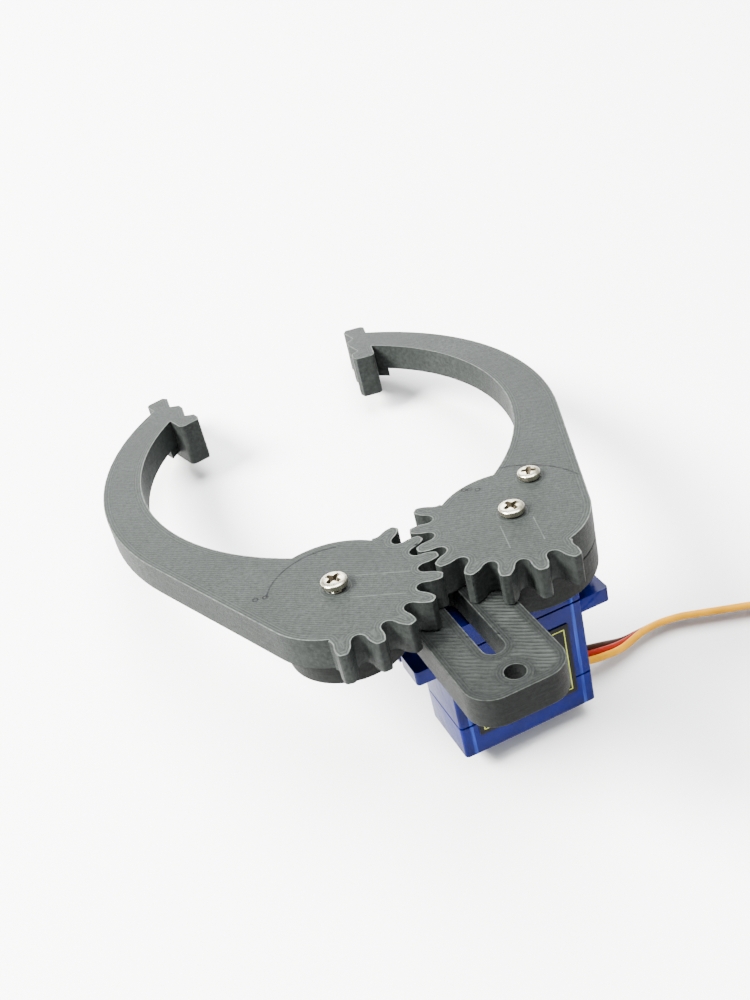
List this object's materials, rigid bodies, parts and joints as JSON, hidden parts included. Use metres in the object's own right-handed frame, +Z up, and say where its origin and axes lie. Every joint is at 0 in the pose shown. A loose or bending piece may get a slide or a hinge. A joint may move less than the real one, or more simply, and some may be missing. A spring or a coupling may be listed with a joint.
{
  "type": "two-finger servo gripper",
  "caption": "Claw gripper with two curved jaws that mesh through gear sectors on a tongued base plate, turned by a micro servo hung under one pivot.",
  "frame": {"origin": "on the ground under the middle of the gripper's bounding box, its servo lead left out", "axes": "+Z up from the ground it rests on, +Y along the ground the way the fingers point, +X from the idler jaw's pivot towards the driven jaw's"},
  "size_m": [0.1325, 0.1492, 0.0396],
  "materials": {
    "printed_grey": "3-D printed, visible layers",
    "servo_blue": "translucent blue moulding",
    "screw_steel": "nickel plated",
    "nylon_white": "moulded nylon",
    "motor_steel": "drawn can",
    "brass": "machined",
    "board_green": "solder mask",
    "black_plastic": "moulded",
    "label_black": "printed film",
    "lead_orange": "soft insulation of the brown, red and yellow wires"
  },
  "bodies": {
    "base": {"base_plate": "printed_grey", "idler_pivot_screw": "screw_steel", "servo_case_top": "servo_blue", "servo_case_middle": "servo_blue", "servo_case_bottom": "servo_blue", "case_screw_1": "screw_steel", "case_screw_2": "screw_steel", "case_screw_3": "screw_steel", "case_screw_4": "screw_steel", "servo_label": "label_black", "lead_grommet": "black_plastic", "train_pin": "screw_steel", "potentiometer": "black_plastic", "motor_can": "motor_steel", "control_board": "board_green", "servo_lead": "lead_orange", "lead_coil": "lead_orange", "lead_tail": "lead_orange", "lead_plug": "black_plastic"},
    "driven_finger": {"drive_jaw": "printed_grey", "servo_horn": "nylon_white", "horn_centre_screw": "screw_steel", "horn_arm_screw": "screw_steel", "output_gear": "nylon_white"},
    "idler_finger": {"idler_jaw": "printed_grey"},
    "gear_c": {"train_gear_c": "nylon_white"},
    "gear_b": {"train_gear_b": "nylon_white"},
    "gear_a": {"train_gear_a": "nylon_white"},
    "pinion": {"motor_pinion": "brass"}
  },
  "joints": [
    {"name": "driven_finger_hinge", "type": "hinge", "parent": "base", "child": "driven_finger", "pos_m": [0.01395, -0.02226, 0.03448], "axis": [0, 0.3411, 0.94], "range_deg": [-70, 13.3]},
    {"name": "idler_finger_hinge", "type": "hinge", "parent": "base", "child": "idler_finger", "pos_m": [-0.01395, -0.02226, 0.03448], "axis": [0, 0.3411, 0.94], "range_deg": [-13.5, 71]},
    {"name": "gear_c_spin", "type": "hinge", "parent": "base", "child": "gear_c", "pos_m": [0.00843, -0.02823, 0.01803], "axis": [0, 0.3411, 0.94], "range_deg": [-50, 254]},
    {"name": "gear_b_spin", "type": "hinge", "parent": "base", "child": "gear_b", "pos_m": [0.01395, -0.02823, 0.01803], "axis": [0, 0.3411, 0.94], "range_deg": [-910, 175]},
    {"name": "gear_a_spin", "type": "hinge", "parent": "base", "child": "gear_a", "pos_m": [0.00843, -0.02823, 0.01803], "axis": [0, 0.3411, 0.94], "range_deg": [-623, 3268]},
    {"name": "pinion_spin", "type": "hinge", "parent": "base", "child": "pinion", "pos_m": [0.00339, -0.02823, 0.01803], "axis": [0, 0.3411, 0.94], "range_deg": [-13883, 2640]}
  ],
  "couplings": [
    {"joint": "idler_finger_hinge", "follows": "driven_finger_hinge", "ratio": -1},
    {"joint": "gear_c_spin", "follows": "driven_finger_hinge", "ratio": -3.6},
    {"joint": "gear_b_spin", "follows": "driven_finger_hinge", "ratio": 12.96},
    {"joint": "gear_a_spin", "follows": "driven_finger_hinge", "ratio": -46.656},
    {"joint": "pinion_spin", "follows": "driven_finger_hinge", "ratio": 198.29}
  ]
}
